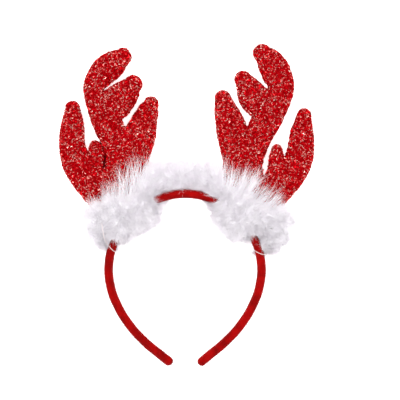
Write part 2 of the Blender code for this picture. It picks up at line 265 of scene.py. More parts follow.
def finish_shader(tree, shader, color, strength=0.0, distance=0.0, height=0.0, invert=False):
    """Gives the shader its colour, and its bumps if they have any strength."""
    tree.links.new(color, shader.inputs["Base Color"])
    if strength:
        bump = add_node(
            tree,
            "ShaderNodeBump",
            {"Strength": strength, "Distance": distance, "Height": height},
            invert=invert,
        )
        tree.links.new(result(bump), shader.inputs["Normal"])


def new_material(name, metallic=0.0, roughness=0.5, **sockets):
    """(material, tree, shader, object coordinates) of a Principled material."""
    material = bpy.data.materials.new(name)
    material.use_nodes = True
    tree = material.node_tree
    shader = tree.nodes["Principled BSDF"]
    shader.inputs["Metallic"].default_value = metallic
    shader.inputs["Roughness"].default_value = roughness
    for key, value in sockets.items():
        shader.inputs[key.replace("_", " ")].default_value = value
    place = result(add_node(tree, "ShaderNodeTexCoord"), "Object")
    return material, tree, shader, place


def color_ramp(tree, factor, *stops):
    """Colours blended along a factor: each stop is (place, red, green, blue)."""
    ramp = add_node(tree, "ShaderNodeValToRGB", {"Fac": factor})
    while len(ramp.color_ramp.elements) < len(stops):
        ramp.color_ramp.elements.new(0.5)
    for element, (at, red, green, blue) in zip(ramp.color_ramp.elements, stops):
        element.position = at
        element.color = (red, green, blue, 1.0)
    return result(ramp, "Color")


def velvet_material():
    """Short dense pile: patches lie this way and that, and each blade catches the light on its tip."""
    material, tree, shader, place = new_material(
        "red_velvet",
        roughness=0.85,
        Sheen_Weight=0.2,
        Sheen_Roughness=0.4,
        Sheen_Tint=(1.0, 0.06, 0.05, 1.0),
        Specular_IOR_Level=0.06,
    )
    pile = noise(tree, place, 2600.0, 2.0)
    brushed = noise(tree, place, 95.0, 3.0, Distortion=0.8)
    color = color_ramp(
        tree,
        reckon(tree, "ShaderNodeMath", "MULTIPLY_ADD", pile, 0.45, brushed),
        (0.45, 0.16, 0.001, 0.001), (0.75, 0.33, 0.001, 0.001), (1.0, 0.44, 0.003, 0.003),
    )
    finish_shader(tree, shader, color, 0.5, 0.2 * MM, pile)
    return material


def new_tree(name, inputs):
    """A Geometry Nodes tree with a geometry input and the named ones, and its group input node."""
    tree = bpy.data.node_groups.new(name, "GeometryNodeTree")
    tree.interface.new_socket("Geometry", in_out="INPUT", socket_type="NodeSocketGeometry")
    for key, kind in inputs.items():
        tree.interface.new_socket(key, in_out="INPUT", socket_type="NodeSocket" + kind)
    tree.interface.new_socket("Geometry", in_out="OUTPUT", socket_type="NodeSocketGeometry")
    return tree, tree.nodes.new("NodeGroupInput")


def grown_mesh(name, surface, tree, values):
    """What the tree makes of the surface, as a plain mesh object: no modifier and no instance is left."""
    modifier = surface.modifiers.new(tree.name, "NODES")
    modifier.node_group = tree
    for socket in tree.interface.items_tree:
        if socket.in_out == "INPUT" and socket.name in values:
            modifier[socket.identifier] = values[socket.name]
    surface.update_tag()
    graph = bpy.context.evaluated_depsgraph_get()
    mesh = bpy.data.meshes.new_from_object(surface.evaluated_get(graph))
    surface.modifiers.remove(modifier)
    mesh.name = name
    piece = bpy.data.objects.new(name, mesh)
    bpy.context.scene.collection.objects.link(piece)
    return piece


def ribbon(bm, points, widths, across):
    """A strip through the points, as wide as widths says and pointed where the last width is 0."""
    last = None
    for point, width in zip(points, widths):
        if width:
            pair = (bm.verts.new(point - across * width / 2), bm.verts.new(point + across * width / 2))
        else:
            pair = (bm.verts.new(point),)
        if last:
            bm.faces.new(last + pair[::-1])
        last = pair


def hidden_collection(name, meshes):
    """A collection of small source objects for the trees to copy, which is deleted before the end."""
    collection = bpy.data.collections.new(name)
    for i, bm in enumerate(meshes):
        mesh = bpy.data.meshes.new(f"{name}_{i}")
        bm.to_mesh(mesh)
        bm.free()
        collection.objects.link(bpy.data.objects.new(mesh.name, mesh))
    return collection


def stretched(tree, vector, size):
    """The vector times a number."""
    return result(
        add_node(tree, "ShaderNodeVectorMath", {"Vector": vector, "Scale": size}, operation="SCALE")
    )


def written(tree, name, kind):
    """What is written on the surface under that name."""
    return result(add_node(tree, "GeometryNodeInputNamedAttribute", {"Name": name}, data_type=kind))


def chance(tree, low, high, seed, kind="FLOAT"):
    """A random number between the limits, another one for each copy."""
    limits = {"Min": low, "Max": high, "Seed": seed}
    return result(add_node(tree, "FunctionNodeRandomValue", limits, data_type=kind))


def scatter_tree(name, density_name=None, lie_name=None, size_name=None):
    """Copies the members of a collection over a surface, standing along its normal, leaning and scattered."""
    tree, given = new_tree(
        name,
        {
            "Copies": "Collection",
            "Per square metre": "Float",
            "Smallest": "Float",
            "Largest": "Float",
            "Lean": "Float",
            "Clump": "Float",
            "Lift": "Float",
            "Seed": "Int",
            "Material": "Material",
        },
    )
    density = result(given, "Per square metre")
    if density_name:
        density = reckon(tree, "ShaderNodeMath", "MULTIPLY", density, written(tree, density_name, "FLOAT"))
    points = add_node(
        tree,
        "GeometryNodeDistributePointsOnFaces",
        {"Mesh": result(given, "Geometry"), "Density": density, "Seed": result(given, "Seed")},
    )
    place = result(add_node(tree, "GeometryNodeInputPosition"))
    wave = noise(tree, place, result(given, "Clump"), 2.0, "Color")
    centred = reckon(tree, "ShaderNodeVectorMath", "SUBTRACT", wave, (0.5, 0.5, 0.5))
    aim = reckon(
        tree,
        "ShaderNodeVectorMath",
        "ADD",
        result(points, "Normal"),
        stretched(tree, centred, result(given, "Lean")),
    )
    if lie_name:
        aim = reckon(tree, "ShaderNodeVectorMath", "ADD", aim, written(tree, lie_name, "FLOAT_VECTOR"))
    upright = add_node(tree, "FunctionNodeAlignRotationToVector", {"Vector": aim}, axis="Z")
    angles = add_node(tree, "ShaderNodeCombineXYZ", {"Z": chance(tree, 0.0, 2 * math.pi, 1)})
    spin = add_node(tree, "FunctionNodeEulerToRotation", {"Euler": result(angles)})
    turned = add_node(
        tree,
        "FunctionNodeRotateRotation",
        {"Rotation": result(upright), "Rotate By": result(spin)},
        rotation_space="LOCAL",
    )
    scale = chance(tree, result(given, "Smallest"), result(given, "Largest"), 2)
    if size_name:
        scale = reckon(tree, "ShaderNodeMath", "MULTIPLY", scale, written(tree, size_name, "FLOAT"))
    copies = add_node(
        tree,
        "GeometryNodeCollectionInfo",
        {"Collection": result(given, "Copies"), "Separate Children": True, "Reset Children": True},
    )
    lift = stretched(tree, result(points, "Normal"), result(given, "Lift"))
    lifted = add_node(
        tree, "GeometryNodeSetPosition", {"Geometry": result(points, "Points"), "Offset": lift}
    )
    placed = add_node(
        tree,
        "GeometryNodeInstanceOnPoints",
        {
            "Points": result(lifted),
            "Instance": result(copies),
            "Pick Instance": True,
            "Instance Index": chance(tree, 0, 999, 3, "INT"),
            "Rotation": result(turned),
            "Scale": scale,
        },
    )
    tinted = add_node(
        tree,
        "GeometryNodeStoreNamedAttribute",
        {"Geometry": result(placed), "Name": "tint", "Value": chance(tree, 0.0, 1.0, 4)},
        data_type="FLOAT",
        domain="INSTANCE",
    )
    real = add_node(tree, "GeometryNodeRealizeInstances", {"Geometry": result(tinted)})
    finished = add_node(
        tree, "GeometryNodeSetMaterial", {"Geometry": result(real), "Material": result(given, "Material")}
    )
    add_node(tree, "NodeGroupOutput", {"Geometry": result(finished)})
    return tree


velvet = velvet_material()
section = smooth_section()
rings = [hoop_ring(section, along, size) for along, size in hoop_stations()]
hoop = new_piece("velvet_hoop", loft(rings), velvet)
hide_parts("headband")


def nap_blades(seed, count=5):
    """A few single blades of pile that lean a little, each one triangle."""
    rng = random.Random(seed)
    blades = []
    for _ in range(count):
        bm = bmesh.new()
        lean = Vector((rng.uniform(-NAP_LEAN, NAP_LEAN), rng.uniform(-NAP_LEAN, NAP_LEAN), 1.0))
        root = Vector((0, 0, -0.1 * NAP_LENGTH))
        ribbon(bm, [root, lean * NAP_LENGTH], [NAP_WIDTH, 0.0], Vector((1, 0, 0)))
        blades.append(bm)
    return blades


scatter = scatter_tree("scattered_copies")
blades = hidden_collection("nap_blade", nap_blades(3))
nap = grown_mesh(
    "velvet_nap",
    hoop,
    scatter,
    {
        "Copies": blades,
        "Per square metre": NAP_PER_M2,
        "Smallest": 0.7,
        "Largest": 1.15,
        "Lean": 1.2,
        "Clump": 180.0,
        "Lift": 0.0,
        "Seed": 11,
        "Material": velvet,
    },
)
for piece in (hoop, nap):
    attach(piece, "root")

# The antlers: each is two panels of red tinsel fabric, cut to the same outline with five blunt tines, sewn
# together along it, turned and stuffed with wadding. The fabric is a dark red knit with curled snips of
# metallic tinsel caught all over it. The rows of a tine are sections along its middle, in millimetres.
LEFT_TINES = {
    # x, y, half width, from root to tip
    "stem": (
        (-52.9, 38.6, 15.0), (-53.7, 64.2, 16.0), (-47.3, 84.2, 16.0), (-55.4, 103.4, 12.0),
        (-64.1, 123.4, 12.0), (-72.5, 143.4, 8.4), (-67.3, 155.4, 10.8), (-57.7, 164.2, 11.2),
        (-49.7, 170.6, 7.4),
    ),
    "middle": ((-60.1, 128.2, 12.0), (-54.9, 133.8, 13.6), (-47.1, 141.8, 11.5), (-41.3, 148.6, 7.7)),
    "inner": (
        (-44.2, 82.0, 12.9), (-36.9, 106.6, 13.2), (-33.3, 117.8, 11.2), (-29.5, 127.4, 8.8),
        (-27.1, 133.0, 6.4),
    ),
    "long": (
        (-60.0, 44.0, 8.0), (-77.7, 69.8, 10.8), (-85.7, 84.2, 12.0), (-89.9, 100.2, 10.7),
        (-89.5, 116.2, 9.6), (-89.7, 129.6, 6.2),
    ),
    "small": (
        (-70.5, 70.6, 7.2), (-71.2, 81.8, 6.5), (-71.1, 89.8, 6.5), (-71.35, 95.4, 6.2),
        (-71.9, 99.4, 5.1),
    ),
}
RIGHT_TINES = {
    # x, y, half width, from root to tip
    "stem": (
        (52.7, 37.0, 14.4), (49.5, 62.6, 15.2), (46.5, 83.4, 16.5), (55.9, 101.8, 11.6),
        (63.3, 117.0, 12.0), (71.5, 133.8, 12.0), (76.6, 146.2, 10.5), (72.7, 157.4, 12.0),
        (67.3, 166.8, 10.9), (61.5, 173.4, 7.7),
    ),
    "middle": ((61.5, 129.8, 11.2), (55.5, 137.4, 12.6), (50.7, 145.4, 10.5), (46.5, 152.6, 7.2)),
    "inner": (
        (44.6, 84.0, 13.4), (38.5, 108.2, 12.8), (35.5, 120.2, 11.4), (32.5, 129.2, 9.4),
        (30.3, 137.4, 6.8),
    ),
    "long": (
        (60.0, 42.0, 8.0), (83.7, 73.8, 10.8), (89.5, 85.8, 11.6), (92.3, 97.8, 11.0),
        (93.2, 110.6, 9.4), (95.1, 124.0, 6.0),
    ),
    "small": ((70.3, 72.2, 8.0), (71.9, 81.8, 6.4), (72.9, 89.8, 6.4), (73.3, 96.4, 4.8)),
}
CREASES = {
    # x, y, where the left antler's small tine is pressed against its stem
    "left": ((-69.2, 105.0), (-66.6, 101.0), (-65.0, 95.8), (-64.1, 91.5), (-64.1, 87.0), (-64.6, 81.6)),
    "right": (),
}
CREASE_STEP = 1.0 * MM
CREASE_REACH = 2.0 * MM  # across which the panels rise from it to their full height
CREASE_FLOOR = 0.08  # of that height
CREASE_ROUND = 0.6  # how roundly they rise
CREASE_KEEP_OFF = 0.8  # of its step, between it and the panels' other points
CREASE_MARGIN = 0.3  # of its step, between it and the outline
CREASE_HALF = 0.45 * MM  # half the width that is bare of tinsel and has painted shade
SLIT_HALF = 1.3 * MM  # half the width where it gapes
SLIT_MIDDLE = 87.0 * MM
SLIT_REACH = 8.0 * MM  # from the slit's middle to each end
SLIT_PAINTED_SHADE = 0.22  # how light the knit is painted inside it: painted shade
TINSEL_EDGE = 0.5 * MM
FOOT_CLEARANCE = 0.5 * MM
STUFFED_THICKNESS = 8.4 * MM
SHOULDER = 7.0 * MM
OUTLINE_STEP = 1.3 * MM
PANEL_STEP = 1.9 * MM
PANEL_MARGIN = 0.6  # of that step, between the outline and the points inside it
SHORTEST_EDGE = 0.35 * MM
TINE_TIP_SIDES = 14
LOOSE_FABRIC = 0.05
STUFFING_PRESSURE = 2.0
CLOTH_FRAMES = 16
MOST_SWELL = 1.1 * MM
SNIP_LENGTH = 1.7 * MM
SNIP_WIDTH = 0.42 * MM
SNIP_CURL = 0.4 * MM
SNIPS_PER_M2 = 1.6e6
TOUCHING = 1e-6  # points nearer to each other, or to the seam, than this are the same


def tine_outline(rows):
    """The closed 2D outline of one tine: two sides at its half width and a round tip."""
    middle = spline([Vector(row) * MM for row in rows], OUTLINE_STEP)
    left, right = [], []
    for i, point in enumerate(middle):
        ahead = middle[min(i + 1, len(middle) - 1)].xy - middle[max(i - 1, 0)].xy
        across = Vector((-ahead.y, ahead.x)).normalized() * point.z
        left.append(point.xy + across)
        right.append(point.xy - across)
    tip, across = middle[-1].xy, left[-1] - middle[-1].xy
    onward = Vector((across.y, -across.x))
    cap = []
    for i in range(1, TINE_TIP_SIDES):
        angle = math.pi * i / TINE_TIP_SIDES
        cap.append(tip + across * math.cos(angle) + onward * math.sin(angle))
    return (left + cap + right[::-1])[::-1]


def triangulate(outlines, extra=()):
    """(points, triangles) of everything inside the closed outlines, which may overlap."""
    points, edges, faces = [], [], []
    for outline in outlines:
        ring = list(range(len(points), len(points) + len(outline)))
        points += outline
        edges += list(zip(ring, ring[1:] + ring[:1]))
        faces.append(ring)
    found = delaunay_2d_cdt(points + list(extra), edges, faces, 0, 1e-7)
    return found[0], [tri for tri, owners in zip(found[2], found[5]) if owners]


def outer_loop(points, triangles):
    """The outline of a flat triangle mesh, with points that crowd the one before left out."""
    edges = {(a, b) for tri in triangles for a, b in zip(tri, tri[1:] + tri[:1])}
    after = {}
    for a, b in sorted(edges):
        if (b, a) not in edges:
            after.setdefault(a, []).append(b)
    leftmost = min(after, key=lambda i: points[i].x)
    loop = [points[leftmost]]
    here = after[leftmost].pop()
    while here != leftmost:
        if (points[here] - loop[-1]).length > SHORTEST_EDGE:
            loop.append(points[here])
        here = after[here].pop()
    return loop


def distances(points, loop):
    """How far each point is from the loop, negative outside it."""
    p = np.array([tuple(q) for q in points])[:, None, :]
    a = np.array([tuple(q) for q in loop])
    b = np.roll(a, -1, axis=0)
    edge = b - a
    share = np.clip(((p - a) * edge).sum(2) / (edge**2).sum(1), 0, 1)
    near = np.linalg.norm(p - a - share[..., None] * edge, axis=2).min(1)
    rising = (a[:, 1] > p[..., 1]) != (b[:, 1] > p[..., 1])
    height = np.where(edge[:, 1] == 0, 1, edge[:, 1])
    crossing = rising & (p[..., 0] < a[:, 0] + (p[..., 1] - a[:, 1]) / height * edge[:, 0])
    return np.where(crossing.sum(1) % 2 == 1, near, -near)


def panel_points(loop):
    """Staggered rows of points inside the outline, for an even fabric mesh."""
    low = [min(point[axis] for point in loop) for axis in range(2)]
    high = [max(point[axis] for point in loop) for axis in range(2)]
    row_step = PANEL_STEP * math.sqrt(3) / 2
    grid = [
        Vector((low[0] + (column + 0.5 * (row % 2)) * PANEL_STEP, low[1] + row * row_step))
        for row in range(math.ceil((high[1] - low[1]) / row_step))
        for column in range(math.ceil((high[0] - low[0]) / PANEL_STEP))
    ]
    inside = distances(grid, loop) > PANEL_MARGIN * PANEL_STEP
    return [point for point, kept in zip(grid, inside) if kept]


def crease_line(rows, step):
    """The crease as 2D points about a step apart, none for an antler without one."""
    if not rows:
        return []
    return [point.xy for point in spline([Vector((*row, 0.0)) * MM for row in rows], step)]


def stuffed_pillow(name, tines, crease, material):
    """The two panels, sewn along the outline and down the crease, and stuffed to about their thickness."""
    loop = outer_loop(*triangulate([tine_outline(rows) for rows in tines.values()]))
    foot = CROWN_RADIUS + BAND_THICKNESS / 2 + FOOT_CLEARANCE
    loop = [point if point.length > foot else point.normalized() * foot for point in loop]
    inner = panel_points(loop)
    line = crease_line(crease, CREASE_STEP)
    line = [point for point in line if distances([point], loop)[0] > CREASE_MARGIN * CREASE_STEP]
    if line:
        keep_off = CREASE_KEEP_OFF * CREASE_STEP
        inner = [p for p in inner if min((p - q).length for q in line) > keep_off]
    points, triangles = triangulate([loop], inner + line)
    depth = np.clip(distances(points, loop), 0, None)
    share = 1 - np.clip(depth / SHOULDER, 0, 1)
    height = STUFFED_THICKNESS / 2 * np.sqrt(np.clip(1 - share**2, 0, 1))
    for i, point in enumerate(points):
        to_crease = min(((point - q).length for q in line), default=CREASE_REACH)
        height[i] *= clamp(to_crease / CREASE_REACH, CREASE_FLOOR) ** CREASE_ROUND
    bm = bmesh.new()
    front, back = [], []
    for point, inward, up in zip(points, depth, height):
        front.append(bm.verts.new((point.x, point.y, up)))
        back.append(front[-1] if inward < TOUCHING else bm.verts.new((point.x, point.y, -up)))
    for a, b, c in triangles:
        bm.faces.new((front[a], front[b], front[c]))
        if len({back[a], back[b], back[c]} - {front[a], front[b], front[c]}):
            bm.faces.new((back[c], back[b], back[a]))
    loose = [vert for vert in bm.verts if not vert.link_faces]
    bmesh.ops.delete(bm, geom=loose, context="VERTS")
    return new_piece(name, bm, material)


def swell(pillow):
    """Cloth simulation: the fabric is a little loose, held along the seam and pushed out by the stuffing."""
    start = np.array([vert.co for vert in pillow.data.vertices])
    seam = pillow.vertex_groups.new(name="seam")
    seam.add([i for i, co in enumerate(start) if abs(co[2]) < TOUCHING], 1.0, "REPLACE")
    cloth = pillow.modifiers.new("cloth", "CLOTH")
    settings = cloth.settings
    settings.vertex_group_mass = "seam"
    settings.quality = 6
    settings.mass = 0.2
    settings.tension_stiffness = 25.0
    settings.compression_stiffness = 25.0
    settings.shear_stiffness = 10.0
    settings.bending_stiffness = 0.15
    settings.shrink_min = -LOOSE_FABRIC
    settings.use_pressure = True
    settings.uniform_pressure_force = STUFFING_PRESSURE
    settings.effector_weights.gravity = 0.0
    cloth.collision_settings.use_self_collision = False
    cloth.point_cache.frame_start, cloth.point_cache.frame_end = 1, CLOTH_FRAMES
    scene = bpy.context.scene
    for step in range(1, CLOTH_FRAMES + 1):
        scene.frame_set(step)
    graph = bpy.context.evaluated_depsgraph_get()
    swollen = np.array([vert.co for vert in pillow.evaluated_get(graph).data.vertices])
    pillow.modifiers.remove(cloth)
    pillow.vertex_groups.clear()
    scene.frame_set(1)
    move = swollen - start
    size = np.linalg.norm(move, axis=1, keepdims=True)
    move *= np.minimum(1, MOST_SWELL / np.maximum(size, 1e-9))
    pillow.data.vertices.foreach_set("co", (start + move).astype(np.float32).ravel())


def subdivided(piece):
    """The piece with one level of subdivision made real."""
    finer = piece.modifiers.new("finer", "SUBSURF")
    finer.levels = finer.render_levels = 1
    graph = bpy.context.evaluated_depsgraph_get()
    mesh = bpy.data.meshes.new_from_object(piece.evaluated_get(graph))
    piece.modifiers.remove(finer)
    piece.data = mesh
    mesh.shade_smooth()


def write_on(piece, name, kind, values):
    """Writes a value for each of its points on the piece, for a tree or a material to read."""
    attribute = piece.data.attributes.new(name, kind, "POINT")
    field = "vector" if kind == "FLOAT_VECTOR" else "value"
    attribute.data.foreach_set(field, np.array(values, np.float32).ravel())


def bare_crease(antler, crease):
    """Writes on the panels where tinsel grows, everywhere but down the crease, where the knit gets painted
    shade.
    """
    flat = LYING.inverted()
    spots = np.array([(flat @ vert.co).xy for vert in antler.data.vertices])
    grown = np.ones(len(spots))
    if crease:
        line = np.array(crease_line(crease, CREASE_STEP / 4))
        away = np.linalg.norm(spots[:, None] - line, axis=2)
        up = line[away.argmin(1), 1]
        gape = np.clip(1 - ((up - SLIT_MIDDLE) / SLIT_REACH) ** 2, 0, 1)
        half = CREASE_HALF + (SLIT_HALF - CREASE_HALF) * gape
        grown = np.clip((away.min(1) - half) / TINSEL_EDGE, 0, 1)
    write_on(antler, "grown", "FLOAT", grown)


def tinsel_ground_material():
    """The knit under the tinsel, dark between its stitches, with painted shade down the crease."""
    material, tree, shader, place = new_material("tinsel_ground", roughness=0.6, Specular_IOR_Level=0.02)
    cells = add_node(tree, "ShaderNodeTexVoronoi", {"Vector": place, "Scale": 900.0})
    color = color_ramp(
        tree,
        result(cells, "Distance"),
        (0.0, 0.55, 0.001, 0.004), (0.45, 0.34, 0.0, 0.002), (0.9, 0.08, 0.0, 0.0),
    )
    # painted shade: the knit is darkened where no tinsel grows, down the crease and widest where the slit
    # gapes
    grown = add_node(tree, "ShaderNodeAttribute", attribute_name="grown")
    light = add_node(
        tree, "ShaderNodeMapRange", {"Value": result(grown, "Fac"), "To Min": SLIT_PAINTED_SHADE, "To Max": 1.0}
    )
    color = stretched(tree, color, result(light))
    finish_shader(tree, shader, color, 0.8, 0.4 * MM, result(cells, "Distance"), invert=True)
    return material


def tinsel_material():
    """Metallic snips, mostly red, some deep red and a few pale pink as painted glints, by each snip's own
    tint.
    """
    material, tree, shader, place = new_material(
        "red_tinsel",
        metallic=0.6,
        roughness=0.3,
        Specular_IOR_Level=0.02,
        Specular_Tint=(1.0, 0.15, 0.15, 1.0),
    )
    tint = add_node(tree, "ShaderNodeAttribute", attribute_name="tint")
    # the pale pink end of the ramp is painted highlight: pale snips stand in for glints
    color = color_ramp(
        tree,
        result(tint, "Fac"),
        (0.0, 0.30, 0.0, 0.001), (0.4, 0.62, 0.001, 0.005), (0.76, 0.82, 0.006, 0.014),
        (0.86, 0.95, 0.22, 0.20), (1.0, 1.0, 0.72, 0.62),
    )
    grain = noise(tree, place, 3000.0, 1.0)
    rough = add_node(tree, "ShaderNodeMapRange", {"Value": grain, "To Min": 0.18, "To Max": 0.42})
    tree.links.new(result(rough), shader.inputs["Roughness"])
    finish_shader(tree, shader, color)
    return material


def tinsel_snips(seed, count=8):
    """Curled snips of tinsel: short strips, bowed up in the middle and bent sideways, two faces each."""
    rng = random.Random(seed)
    snips = []
    for _ in range(count):
        bm = bmesh.new()
        half = SNIP_LENGTH / 2 * rng.uniform(0.6, 1.1)
        bend = SNIP_CURL * rng.uniform(-1.2, 1.2)
        rise = SNIP_CURL * rng.uniform(0.4, 1.3)
        tilt = Vector((0.0, 1.0, rng.uniform(-0.9, 0.9))).normalized()
        end = Vector((half, 0, rng.uniform(0, 0.6) * rise))
        points = [Vector((-half, 0, 0)), Vector((0, bend, rise)), end]
        ribbon(bm, points, [SNIP_WIDTH, SNIP_WIDTH * 1.1, SNIP_WIDTH * 0.8], tilt)
        snips.append(bm)
    return snips


ground, tinsel = tinsel_ground_material(), tinsel_material()
tinsel_tree = scatter_tree("grown_tinsel", "grown")
snips = hidden_collection("tinsel_snip", tinsel_snips(5))
antlers = []
for side, tines, seed in (("left", LEFT_TINES, 21), ("right", RIGHT_TINES, 22)):
    antler = stuffed_pillow(f"stuffed_antler_{side}", tines, CREASES[side], ground)
    swell(antler)
    antler.data.transform(LYING)
    subdivided(antler)
    bare_crease(antler, CREASES[side])
    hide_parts(f"antler_{side}")
    glitter = grown_mesh(
        f"tinsel_{side}",
        antler,
        tinsel_tree,
        {
            "Copies": snips,
            "Per square metre": SNIPS_PER_M2,
            "Smallest": 0.7,
            "Largest": 1.2,
            "Lean": 1.1,
            "Clump": 1500.0,
            "Lift": 0.05 * MM,
            "Seed": seed,
            "Material": tinsel,
        },
    )
    for piece in (antler, glitter):
        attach(piece, "root")
    antlers.append(antler)

# The fur strip: fine white fluff wound along the top of the hoop and over both antlers' feet, thin over the
# bare middle of the arch and a clump over each foot. Its core of down is the CAD's fur, drawn in under the
# short fluff, and more over the antlers, where only the longest strands stray over the tinsel.
DOWN_VOXEL = 1.7 * MM
DOWN_SMOOTHING = 10
DOWN_SINK = 2.2 * MM
SINK_FROM = 1.0 * MM  # off what the down is wound on it starts to sink, fully so SINK_FADE further out
SINK_FADE = 3.0 * MM
GAP_REACH = 4.0 * MM  # how far off the down is still kept clear of that
CLUMP_FROM_MIDDLE = 27 * MM  # where the thin middle stretch ends, left and right
STRAND_LENGTH = 9.0 * MM
STRAND_WIDTH = 0.17 * MM
STRANDS_IN_TUFT = 7
TUFT_SPREAD = 0.9 * MM
TUFT_CURL = 0.35
TUFTS_PER_M2 = 8.8e5
WISP_LENGTH = 42.0 * MM
WISP_WIDTH = 0.4 * MM
STRANDS_IN_WISP = 4
WISP_SPREAD = 1.6 * MM
WISP_CURL = 0.17
WISPS_PER_M2 = 3.4e5
STRAND_SAG = 0.12
STRAND_TAPER = 0.6
THINNING = 7.0 * MM  # how near to an antler the short fluff thins out
FLOOR_THINNING = 5.0 * MM  # how near to the floor
THINNEST = 0.25
DOWN_GAP = 0.3 * MM  # between the down and what it is wound round
SHORTEST_CLEAR = 6.0 * MM  # strands that would run into the hoop or an antler before this aren't grown
BARE_CLEAR = 2.0 * MM  # the same beside the bare arcs
LEAN_FADE = 5.0 * MM  # how far from the bar's middle the fluff leans fully outwards or inwards
END_ARC = (56, 10)  # degrees round the hoop where the fluff starts to lean to its end, and over which
BESIDE_BAR = 1.7  # band thicknesses from its middle, where fluff beside a bare arc stands up
RIM_REACH = 9.0 * MM  # how near to an antler the straying strands grow
BARE_ARCS = ((-180, -63), (-31, 28), (60, 180))  # degrees round the hoop where its front shows
SPILL_ARC = (-34, -10)  # where the fur inside the arch falls over the bar's lower edge
DENSE_SHARE = (
    # degrees round the hoop, share of the fur's reach over the antlers that is dense down
    (-59, 1.0), (-54, 0.84), (-51, 0.66), (-46, 0.68), (-43, 0.50), (-39, 0.22), (-31, 0.26),
    (-25, 0.56), (-21, 0.80), (-16, 0.92), (0, 0.94), (16, 0.88), (21, 0.64), (26, 0.32),
    (31, 0.40), (36, 0.66), (41, 0.60), (47, 0.54), (53, 0.64), (57, 0.84), (61, 1.0),
)
WISP_SHARE = (
    # degrees round the hoop, length of the straying strands against the longest
    (-70, 0.24), (-50, 0.36), (-45, 0.62), (-41, 0.95), (-36, 1.0), (-27, 0.85), (-18, 0.5),
    (0, 0.24), (16, 0.4), (23, 0.68), (30, 0.74), (40, 0.66), (55, 0.6), (64, 0.3),
)
DENSE_FROM = 4.0 * MM  # outside the bar's middle, where the down starts to be drawn in
BACK_FROM = -1.0 * MM  # behind here it is drawn in less, and BACK_FADE further back not at all
BACK_FADE = 5.0 * MM
STRAY_FANS = (
    # left and right: degrees turned for each degree round the hoop, from which place, and the heading there
    (1.7, -28, 25), (1.9, 22, 0),
)
STRAY_PULL = 2.6
STRAY_RISE = 0.1
DROOP = 0.35
DROOP_FROM = 5.0 * MM
DROOP_FADE = 8.0 * MM
FLOOR_GAP = 0.1 * MM
FLOOR_SPREAD = 0.02
PAINTED_GLOW_LOW = -36.0 * MM  # up the headband, where the fur's painted glow starts
PAINTED_GLOW_HIGH = 34.0 * MM  # the thin stretch at the top, where the painted glow is strongest
MOST_PAINTED_GLOW = 0.074


def surface_tree(pieces):
    """A search tree over the faces of the pieces."""
    points, faces = [], []
    for piece in pieces:
        first = len(points)
        points += [vert.co for vert in piece.data.vertices]
        faces += [[first + i for i in face.vertices] for face in piece.data.polygons]
    return BVHTree.FromPolygons(points, faces)


def evened(piece, voxel, smoothing):
    """The piece as one even skin, smoothed."""
    remesh = piece.modifiers.new("even", "REMESH")
    remesh.mode = "VOXEL"
    remesh.voxel_size = voxel
    smooth = piece.modifiers.new("soften", "SMOOTH")
    smooth.factor, smooth.iterations = 0.5, smoothing
    graph = bpy.context.evaluated_depsgraph_get()
    mesh = bpy.data.meshes.new_from_object(piece.evaluated_get(graph))
    piece.modifiers.clear()
    piece.data = mesh
    mesh.shade_smooth()


def draw_in(down):
    """Draws the down over the antlers back to where the fur is dense: only long strands reach further."""
    flat = LYING.inverted()
    angles, shares = zip(*DENSE_SHARE)
    for vert in down.data.vertices:
        point = flat @ vert.co
        radius = point.xy.length
        beyond = radius - CROWN_RADIUS - DENSE_FROM
        if beyond <= 0:
            continue
        share = float(np.interp(math.degrees(math.atan2(point.x, point.y)), angles, shares))
        share += (1 - share) * clamp((BACK_FROM - point.z) / BACK_FADE)
        shrunk = (CROWN_RADIUS + DENSE_FROM + beyond * share) / radius
        vert.co = LYING @ Vector((point.x * shrunk, point.y * shrunk, point.z))


def sink(down, inner, depth):
    """Sinks the down's open skin inwards, and keeps the walls round what it is wound on clear of that."""
    for vert in down.data.vertices:
        near, out, _, distance = inner.find_nearest(vert.co)
        vert.co -= vert.normal * depth * clamp((distance - SINK_FROM) / SINK_FADE)
        if (vert.co - near).dot(out) < DOWN_GAP and distance < GAP_REACH:
            vert.co = near + out * DOWN_GAP


def fur_material():
    """White fluff, soft and a little cool, with a painted glow that grows from low on the headband to its
    top.
    """
    material, tree, shader, place = new_material(
        "white_fur",
        roughness=0.9,
        Sheen_Weight=0.3,
        Sheen_Roughness=0.5,
        Specular_IOR_Level=0.1,
        Emission_Color=(0.97, 0.93, 0.98, 1.0),
    )
    # painted light: the fur glows, from none low on the headband to most at its top, so the top is brighter
    # and the lower fur darker
    across = add_node(tree, "ShaderNodeSeparateXYZ", {"Vector": place})
    painted_glow = add_node(
        tree,
        "ShaderNodeMapRange",
        {"Value": result(across, "Y"), "From Min": PAINTED_GLOW_LOW, "From Max": PAINTED_GLOW_HIGH, "To Max": MOST_PAINTED_GLOW},
    )
    tree.links.new(result(painted_glow), shader.inputs["Emission Strength"])
    bunch = noise(tree, place, 160.0, 3.0)
    color = color_ramp(tree, bunch, (0.3, 0.93, 0.90, 0.94), (0.7, 0.985, 0.965, 0.99))
    finish_shader(tree, shader, color, 0.6, 0.3 * MM, noise(tree, place, 1800.0, 2.0))
    return material


